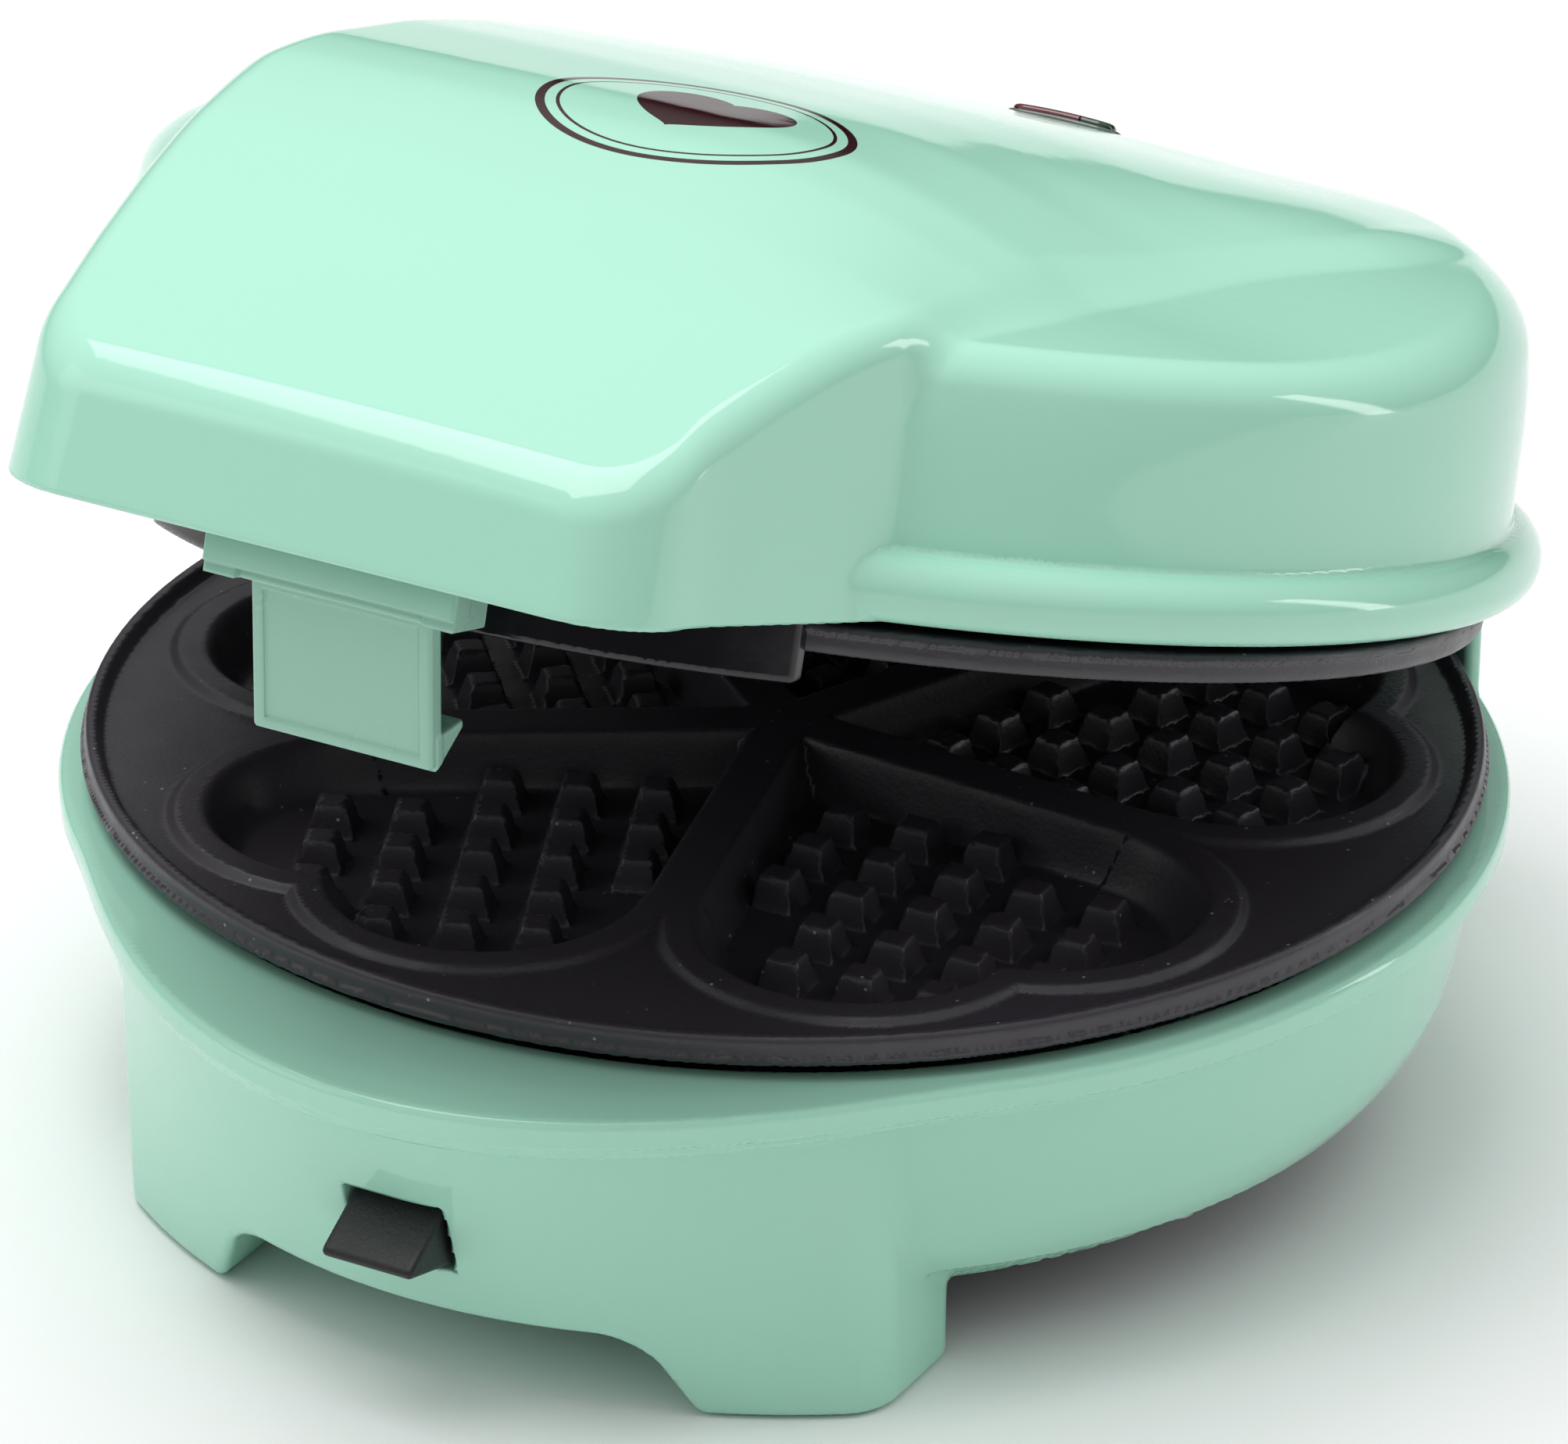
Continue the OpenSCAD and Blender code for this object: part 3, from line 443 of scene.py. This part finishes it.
def lid_body(x, y, z):
    """Solid outline of the lid: the round drum joined to the band with its handle and tail."""
    r = np.hypot(x - 2.6 * smooth_step((z - 12) / 26), y)
    wall = r - (DRUM_R - DRUM_DRAFT * np.clip((z - 14) / 26, 0, 1.4))
    dome = np.clip(1 - (r / 101) ** 2, 0, 1)
    right_height = 43.6 + 6.8 * smooth_step((y + 40) / 110) + 6.0 * dome
    height = 45.7 + 0.045 * y + 3.5 * dome
    height += (right_height - height) * smooth_step((x - 25) / 35)
    drum = cut_round(wall, z - height, 5.0 + 3.0 * smooth_step((y + 60) / 90))

    lean = 0.07 * (z - 6)
    side = np.maximum((x - right_edge(y) + lean) / np.sqrt(1 + right_flare(y) ** 2),
                      (-x - left_edge(y) + lean) / np.sqrt(1 + left_flare(y) ** 2))
    front = (HANDLE_FRONT + (z - 6.5) * 0.12) - y
    slope = band_slope(y)
    # crown rounds the roof from side to side, fall lowers its right side towards the drum's top
    swell = 1.0 + 1.6 * smooth_step((y + 40) / 100)
    crown = swell * (1 - np.clip((x + 3.5) / 64, -1.1, 1.1) ** 2) - 0.010 * x
    fall = 12.2 * smooth_step((y + 102) / 56) * (1 - 0.8 * smooth_step((y + 25) / 75))
    across = np.clip((x - 4) / 56, 0, 1.4)
    steepness = np.sqrt(1 + slope ** 2 + (fall * across / 28) ** 2)
    roof = (z - band_top(y) - crown + fall * across ** 2) / steepness
    edge = 4.2 + 2.2 * smooth_step((y + 90) / 60)
    band = cut_round(cut_round(side, front, HANDLE_CORNER), roof, edge)
    band = cut_round(band, tail_roof(y, z, TAIL_R), 5.0)
    soft = 1.2 + 2.6 * smooth_step((z - 34) / 12)
    soft = soft + 3.5 * smooth_step((y + 78) / 30) * smooth_step((z - 38) / 6)
    return join_round(drum, band, soft)


def stadium(x, y, length, width):
    """Distance outside a slot shape that lies along x."""
    return np.hypot(np.maximum(np.abs(x) - (length - width) / 2, 0), y) - width / 2


LENS_Y = 75.0
LENS_SPLIT = 3.6


def lid_shell(x, y, z):
    """The hollow lid housing with its bead and the seat of the indicator."""
    body = lid_body(x, y, z)
    r = np.hypot(x, y)
    ax = np.abs(x)
    bead = np.hypot(r - BEAD_R, z - BEAD_Z) - BEAD_SIZE
    shape = join_round(body, bead, 0.7)
    hollow = np.maximum(body + LID_WALL, z - 12.0)
    tail_end = np.minimum(tail_roof(y, z, TAIL_R - LID_WALL), 116 - y)
    tail = np.maximum(np.maximum(ax - 47.5, 98.5 - y), tail_end)
    under = np.maximum(np.maximum(ax - 80, 97.5 - y), z - 9.5)
    hollow = np.minimum(np.minimum(hollow, tail), under)
    shape = cut_round(shape, -hollow, 0.5)
    seat = np.maximum(stadium(x, y - LENS_Y, 19.2, 7.2), 40 - z)
    shape = cut_round(shape, -seat, 0.3)
    return cut_round(shape, LID_EDGE - z, 0.8)


# ------------------------------------------------------------------ base
# Sizes in mm in the plate frame. The bowl's radius is a function of height.
bowl_radius, bowl_slope = smooth_curve(
    [(-60, 70), (-50, 86.5), (-47, 90), (-43.5, 93.8), (-39, 97.2), (-34, 99.6), (-25, 101.3),
     (-11, 103.4), (0, 104)], 1.2)
BASE_WALL = 2.8
GROUND = 0.3 - PLATE_Z
NOSE_Y = -59.5
WELL_R = 99.6
BUTTON_X = 2.0
LEVER_Y, LEVER_Z = -105.0, -30.0


def nose_radius(x, y, circle_r, ring_r):
    """Distance outside the ring with the rounded nose."""
    return join_round(np.hypot(x, y) - ring_r, np.hypot(x, y - NOSE_Y) - circle_r, 14.0)


def fairing(x, y, z):
    """The front apron with its two feet and the arch between them."""
    t = np.clip((-12 - z) / 48, 0, 1)
    top = nose_radius(x, y, 60.8, 103.2)
    foot = np.hypot(x, y) - 103.8
    wall = top * (1 - t) + foot * t
    side = np.where(x > 0, x - 62.5, -x - 64)
    shape = cut_round(wall, side, 4.0)
    shape = cut_round(shape, y + 62, 3.0)
    shape = cut_round(shape, GROUND - z, 1.5)
    arch = cut_round((np.abs(x - 1) - 32.5 - (-46.5 - z) * 0.48) * 0.88, z + 46.3, 5.0)
    shape = cut_round(shape, -arch, 1.5)
    return np.maximum(shape, z + 8)


def base_shell(x, y, z):
    """The base housing: bowl, apron, top flange and lip, rear riser and hinge block."""
    r = np.hypot(x, y)
    ax = np.abs(x)
    bowl = (r - bowl_radius(z)) / np.sqrt(1 + np.minimum(bowl_slope(z) ** 2, 2))
    step = smooth_step((-42.6 - z) / 0.9) * 1.3
    bowl = cut_round(bowl + step, -50 - z, 1.5)
    bowl = np.maximum(bowl, z + 8)
    body = join_round(bowl, fairing(x, y, z), 1.6)
    plan = nose_radius(x, y, 63.4, 106.9)
    flange = cut_round(cut_round(plan, z + 6.8, 1.4), -11.2 - z, 0.8)
    lip = nose_radius(x, y, 62.8, 104.0)
    lip = cut_round(cut_round(lip, z + 7.5, 1.0), -13.2 - z, 1.2)
    shape = join_round(join_round(body, flange, 0.8), lip, 0.8)
    angle = np.degrees(np.arctan2(ax, y))
    riser = cut_round(cut_round(np.abs(r - 105.7) - 1.3, z - 5, 0.8), -7.5 - z, 0.3)
    riser = cut_round(riser, (angle - 48) * 1.8, 1.0)
    shape = np.minimum(shape, riser)
    block = cut_round(cut_round(ax - 46, np.abs(y - 110) - 12.8, 3.0), np.abs(z + 6) - 14, 2.0)
    lug_side = np.abs(ax - 37) - 7
    lug = np.hypot(y - HINGE_Y, z - HINGE_Z) - 9
    post = np.maximum(np.abs(y - HINGE_Y) - 8.6, np.maximum(z - HINGE_Z, 5 - z))
    lug = cut_round(np.minimum(lug, post), lug_side, 1.0)
    shape = join_round(shape, join_round(block, lug, 1.5), 1.0)
    well = np.maximum(r - WELL_R, -20 - z)
    bottom = np.maximum(r - (bowl_radius(z) - BASE_WALL), z + 42.5)
    hinge_room = np.maximum(np.maximum(ax - 43.5, np.abs(y - 110) - 10), z - 5)
    shape = cut_round(shape, -np.minimum(well, bottom), 0.5)
    shape = np.maximum(shape, -np.maximum(hinge_room, 60 - y))
    slot = np.maximum(np.maximum(np.abs(x - BUTTON_X) - 7.9, np.abs(z + 32) - 5.8), y + 100)
    return cut_round(shape, -slot, 0.4)


def release_lever(x, y, z):
    """The black rocker: its wedge on the base's front, its hub and its catch."""
    ly, lz = y - LEVER_Y, z - LEVER_Z
    outline = [(0, 3.4), (-7.5, 2.9), (-9.6, 1.6), (-17, -2.4), (-17, -4.2), (-6, -7), (0, -3.4)]
    wedge = np.full(np.broadcast(ly, lz).shape, -1e3)
    for (y0, z0), (y1, z1) in zip(outline, outline[1:]):
        n = math.hypot(y1 - y0, z1 - z0)
        d = ((z1 - z0) * (ly - y0) - (y1 - y0) * (lz - z0)) / n
        wedge = cut_round(wedge, d, 0.7)
    wedge = cut_round(np.maximum(wedge, ly), np.abs(x - BUTTON_X) - 7.3, 0.8)
    hub = np.maximum(np.hypot(ly, lz) - 3.4, np.abs(x) - 7.2)
    arm = np.maximum(np.abs(ly + 0.9) - 1.5, np.abs(lz - 9.5) - 9.5)
    catch = np.maximum(np.abs(ly - 0.7) - 3.1, np.abs(lz - 18.2) - 0.8)
    arm = np.maximum(np.minimum(arm, catch), np.abs(x) - 5.5)
    shape = np.minimum(wedge, np.minimum(hub, arm))
    return np.maximum(shape, 1.55 - np.hypot(ly, lz))


# ------------------------------------------------------------------ plates
HEART_TURN = math.radians(32.0)
SECTOR = math.radians(72.0)
HALF = math.radians(36.0)
LOBE_R, LOBE_U, LOBE_V = 23.5, 66.5, 14.5
BRIDGE_HALF = 3.5
LAND_Z = -2.2
CAVITY_EDGE_Z = -0.9
CAVITY_DEPTH = 8.6
POST_PITCH = 11.5
POST_HEIGHT = 5.0
GRID_U = 24.0
PLATE_R = 103.0


def heart(u, v):
    """Distance outside one heart whose tip points at the middle."""
    av = np.abs(v)
    lobe = np.hypot(u - LOBE_U, av - LOBE_V) - LOBE_R
    side = BRIDGE_HALF - (u * math.sin(HALF) - av * math.cos(HALF))
    end = (u - LOBE_U) * math.cos(HALF) + (av - LOBE_V) * math.sin(HALF)
    return np.minimum(lobe, np.maximum(side, end))


def to_heart(x, y):
    """Coordinates along and across the nearest heart."""
    a = np.arctan2(y, x) - HEART_TURN
    a = a - SECTOR * np.round(a / SECTOR)
    r = np.hypot(x, y)
    return r * np.cos(a), r * np.sin(a)


def plate_height(x, y):
    """Height of the lower plate's face: rim, land, ridge round each heart, cavity and posts."""
    u, v = to_heart(x, y)
    r = np.hypot(x, y)
    d = heart(u, v)
    h = LAND_Z - LAND_Z * smooth_step((r - 100.0) / 1.4)
    ridge = 1.3 * smooth_step((d + 0.5) / 1.2) * smooth_step((5.2 - d) / 1.8)
    h = h + ridge
    depth = CAVITY_DEPTH * smooth_step(-d / (3.6 + 2.6 * smooth_step((r - 55) / 20)))
    h = np.where(d < 0.6, CAVITY_EDGE_Z - depth, h)
    s = ((u - GRID_U) + v) / math.sqrt(2)
    t = ((u - GRID_U) - v) / math.sqrt(2)
    cs, ct = np.round(s / POST_PITCH) * POST_PITCH, np.round(t / POST_PITCH) * POST_PITCH
    cu, cv = (cs + ct) / math.sqrt(2) + GRID_U, (cs - ct) / math.sqrt(2)
    room = heart(cu, cv) < -6.8
    m = np.maximum(np.abs(s - cs), np.abs(t - ct))
    post = POST_HEIGHT * smooth_step((3.9 - m) / 1.9)
    return h + np.where(room, post, 0) * smooth_step((-d - 3.2) / 1.0)


def waffle_plate(x, y, z):
    r = np.hypot(x, y)
    h = plate_height(x, y)
    near_heart = smooth_step((3.3 - heart(*to_heart(x, y))) / 1.5)
    under = -4.4 - 8.0 * near_heart * (1 - 0.6 * smooth_step((r - 86.5) / 2))
    skin = np.maximum((z - h) * 0.62, (under - z) * 0.62)
    edge = r - (PLATE_R + 0.6 * smooth_step((-2.6 - z) / 0.6))
    return cut_round(skin, edge, 0.8)


def upper_plate(p):
    return on_lid(p * np.array([1, 1, -1]) + np.array([0, 0, 0.3]))


def build_plates(cell):
    points, quads, normals = surface(waffle_plate, (-105, -105, -14), (105, 105, 1.5), cell)
    lower = add_mesh("lower_plate", on_base(points), quads, normals)
    flipped = normals * np.array([1, 1, -1])
    upper = add_mesh("upper_plate", upper_plate(points), quads[:, ::-1], turn_lid(flipped))
    for obj, node, body in ((lower, "lower_waffle_plate", "base"), (upper, "upper_waffle_plate", "lid")):
        obj.data.materials.append(PLATE)
        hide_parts(node)
        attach(obj, body)


# ------------------------------------------------------------------ small pieces
def skirt(x, y, z):
    """Dark cover round the upper plate with its curved front wall."""
    wall_r = np.hypot(x, y + 30)
    wall = cut_round(np.abs(wall_r - 78.9) - 1.1, np.maximum(y + 80, -4.0 - z), 0.8)
    ends = (np.abs(x) - 51) * 0.9
    wall = cut_round(cut_round(wall, ends, 0.5), z - 7, 0.4)
    body = lid_body(x, y, z)
    cover = np.maximum(body + 2.7, np.abs(z - 7.6) - 1.4)
    cover = np.maximum(cover, 95 - np.hypot(x, y))
    cover = np.maximum(cover, y - 95.8)
    window = np.maximum(np.abs(x) - 7.65, np.abs(z - 0.6) - 2.9)
    wall = np.maximum(wall, -window)
    return join_round(wall, cover, 0.6)


LATCH_X = 1.5
TAB_HALF = 14.0


def latch_tab(x, y, z):
    """The hanging tab with its barrel, its hook at the foot and a recessed panel."""
    ax = np.abs(x - LATCH_X)
    tab = cut_round(cut_round(ax - TAB_HALF, np.abs(y) - 1.6, 0.6), -24 - z, 0.7)
    tab = np.maximum(tab, z)
    barrel = np.maximum(np.hypot(y, z) - 2.6, ax - TAB_HALF)
    hook = np.maximum(-y, z + 19.6)
    slant = ((y - 7.0) * 3.3 - (z + 20.7) * 5.6) / math.hypot(3.3, 5.6)
    hook = np.maximum(hook, np.maximum(y - 7.0, slant))
    hook = cut_round(hook, ax - TAB_HALF, 0.4)
    shape = join_round(np.minimum(tab, barrel), hook, 0.5)
    panel = np.maximum(np.maximum(ax - 12.1, y + 1.15), np.maximum(-22.2 - z, z + 3.2))
    return cut_round(shape, -panel, 0.25)


def latch_bracket(x, y, z):
    """The stepped bar under the handle with the two ears that hold the latch's pin."""
    ax = np.abs(x - LATCH_X)
    front = cut_round(ax - 19.6, np.abs(y + 131.2) - 2.4, 0.5)
    front = np.maximum(front, np.abs(z - 4.2) - 2.0)
    lower = cut_round(cut_round(ax - 17.6, np.abs(y + 129.8) - 2.2, 0.4), 0.7 - z, 0.4)
    lower = np.maximum(lower, z - 3)
    ears = np.maximum(np.abs(y - LATCH_PIVOT[1]) - 4.3, np.abs(z - 3.4) - 2.8)
    ears = np.maximum(np.abs(ax - 17.0) - 2.5, ears)
    shape = np.minimum(join_round(front, lower, 0.4), ears)
    room = np.maximum(ax - 14.3, np.hypot(y - LATCH_PIVOT[1], z - LATCH_PIVOT[2]) - 3.0)
    return np.maximum(shape, -room)


def lens_piece(x0, x1):
    """The part of the oval lens between two places across the lid."""
    def shape(x, y, z):
        oval = stadium(x, y - LENS_Y, 17.2, 5.2)
        top = z - (55.4 - 0.19 * (y - LENS_Y) - 0.004 * x * x)
        s = cut_round(oval, top, 0.9)
        s = np.maximum(s, 47.6 - z)
        return np.maximum(s, np.maximum(x0 - x, x - x1))
    return shape


def lens_frame(x, y, z):
    """The thin rim round the lens."""
    outer = stadium(x, y - LENS_Y, 18.9, 6.9)
    inner = stadium(x, y - LENS_Y, 17.3, 5.3)
    top = z - (54.5 - 0.19 * (y - LENS_Y) - 0.004 * x * x)
    s = cut_round(outer, top, 0.5)
    return np.maximum(np.maximum(s, -inner), 47.4 - z)


# ------------------------------------------------------------------ build
coarse = 1.0
solid("lid_housing", lid_shell, (-113, -138, 4.5), (113, 129, 64), coarse, on_lid, "lid",
      ["lid_shell"], PRINTED_MINT)
solid("base_housing", base_shell, (-110, -126, -61), (110, 126, 34), coarse, on_base, "base",
      ["base_shell"], MINT)
build_plates(0.8)
solid("lid_inner_frame", skirt, (-106, -136, -6), (106, 98, 11), 0.7, on_lid, "lid",
      ["lid_inner_cover"], SKIRT)
solid("latch_hook", latch_tab, (-15, -3, -25), (17, 8, 4), 0.4, on_latch, "latch",
      ["latch_tab"], SHADED_LATCH_MINT)
solid("latch_hanger", latch_bracket, (-21, -135, 0), (23, -122, 7.5), 0.4, on_lid, "lid",
      ["latch_bracket"], SHADED_LATCH_MINT)
solid("release_lever", release_lever, (-8.5, -123, -39), (10.5, -100, -10), 0.4, on_base, "lower_lever",
      ["lower_release_lever"], BLACK)
solid("lens_red", lens_piece(-12, LENS_SPLIT - 0.05), (-10, 70, 46), (10, 80, 57), 0.3, on_lid, "lid",
      ["red_lens"], RED)
solid("lens_green", lens_piece(LENS_SPLIT + 0.05, 12), (-10, 70, 46), (10, 80, 57), 0.3, on_lid, "lid",
      ["green_lens"], GREEN)
solid("lens_surround", lens_frame, (-11, 70, 46), (11, 80, 57), 0.3, on_lid, "lid",
      ["indicator_bezel"], BEZEL)

BY_SLOT = {"mint_plastic": MINT, "black_plastic": BLACK, "skirt_plastic": SKIRT, "non_stick": PLATE,
           "steel": STEEL, "heater": DARK_STEEL, "ceramic": CERAMIC, "rubber": RUBBER, "red_lens": RED,
           "green_lens": GREEN, "bezel": BEZEL, "lamp": LAMP, "sleeving": FABRIC}
slots = {s["node"]: s["material_slot"] for s in frame["record"]["subparts"]}
for name, obj in frame["nodes"].items():
    obj.data.materials.clear()
    obj.data.materials.append(BY_SLOT[slots[name]])

# ------------------------------------------------------------------ studio
corners = np.array([(-6, -6, 0), (6, -6, 0), (6, 6, 0), (-6, 6, 0)], float)
floor = add_mesh("floor", corners, [(0, 1, 2, 3)])
floor_nodes = Nodes("floor_paper")
paper = floor_nodes.mix(floor_nodes.noise(2, 2), (0.95, 0.95, 0.95), (0.97, 0.97, 0.97))
floor_nodes.to(paper, "Base Color")
floor_nodes.set(Roughness=0.9)
floor.data.materials.append(floor_nodes.material)

world = bpy.data.worlds.new("studio")
bpy.context.scene.world = world
world.use_nodes = True
background = world.node_tree.nodes["Background"]
# the sky is dark at the horizon and bright overhead, so that the side walls keep their shade
background.inputs["Color"].default_value = (1, 1, 1, 1)
sky_coords = world.node_tree.nodes.new("ShaderNodeTexCoord")
sky_parts = world.node_tree.nodes.new("ShaderNodeSeparateXYZ")
sky_range = world.node_tree.nodes.new("ShaderNodeMapRange")
for key, value in (("From Min", 0.0), ("From Max", 0.9), ("To Min", -0.06), ("To Max", 0.88)):
    sky_range.inputs[key].default_value = value
world.node_tree.links.new(sky_coords.outputs["Generated"], sky_parts.inputs[0])
world.node_tree.links.new(sky_parts.outputs["Z"], sky_range.inputs["Value"])
world.node_tree.links.new(sky_range.outputs["Result"], background.inputs["Strength"])


def softbox(name, where, target, width, height, power):
    light = bpy.data.lights.new(name, "AREA")
    light.shape = "RECTANGLE"
    light.size = width
    light.size_y = height
    light.energy = power
    obj = bpy.data.objects.new(name, light)
    obj.location = where
    obj.rotation_euler = (Vector(target) - Vector(where)).to_track_quat("-Z", "Y").to_euler()
    bpy.context.scene.collection.objects.link(obj)


centre = (0, 0, 0.08)
softbox("top_box", (-0.25, -0.1, 1.3), centre, 1.1, 0.9, 10.5)
softbox("right_strip", (1.0, 0.72, 0.36), centre, 0.16, 0.68, 1.6)
softbox("left_box", (-1.1, -0.9, 0.8), centre, 0.9, 0.9, 1.8)

# ------------------------------------------------------------------ camera
azimuth, elevation, roll = math.radians(28.8), math.radians(25.87), math.radians(0.77)
level = math.cos(elevation)
back = Vector((math.sin(azimuth) * level, -math.cos(azimuth) * level, math.sin(elevation)))
right = Vector((math.cos(azimuth), math.sin(azimuth), 0))
up = back.cross(right)
cam_right = right * math.cos(roll) + up * math.sin(roll)
cam_up = up * math.cos(roll) - right * math.sin(roll)
CAMERA_DISTANCE = 1.339
camera = bpy.data.cameras.new("camera")
camera.sensor_width = 36
camera.lens = 208.83
camera.shift_x = -0.00095
camera.shift_y = -0.0072
camera.clip_end = 20
cam_obj = bpy.data.objects.new("camera", camera)
turn = Matrix((cam_right, cam_up, back)).transposed().to_4x4()
target = Vector((0, PLATE_Y * MM, PLATE_Z * MM))
cam_obj.matrix_world = Matrix.Translation(target + back * CAMERA_DISTANCE) @ turn
bpy.context.scene.collection.objects.link(cam_obj)
bpy.context.scene.camera = cam_obj
bpy.context.scene.view_settings.view_transform = "Standard"
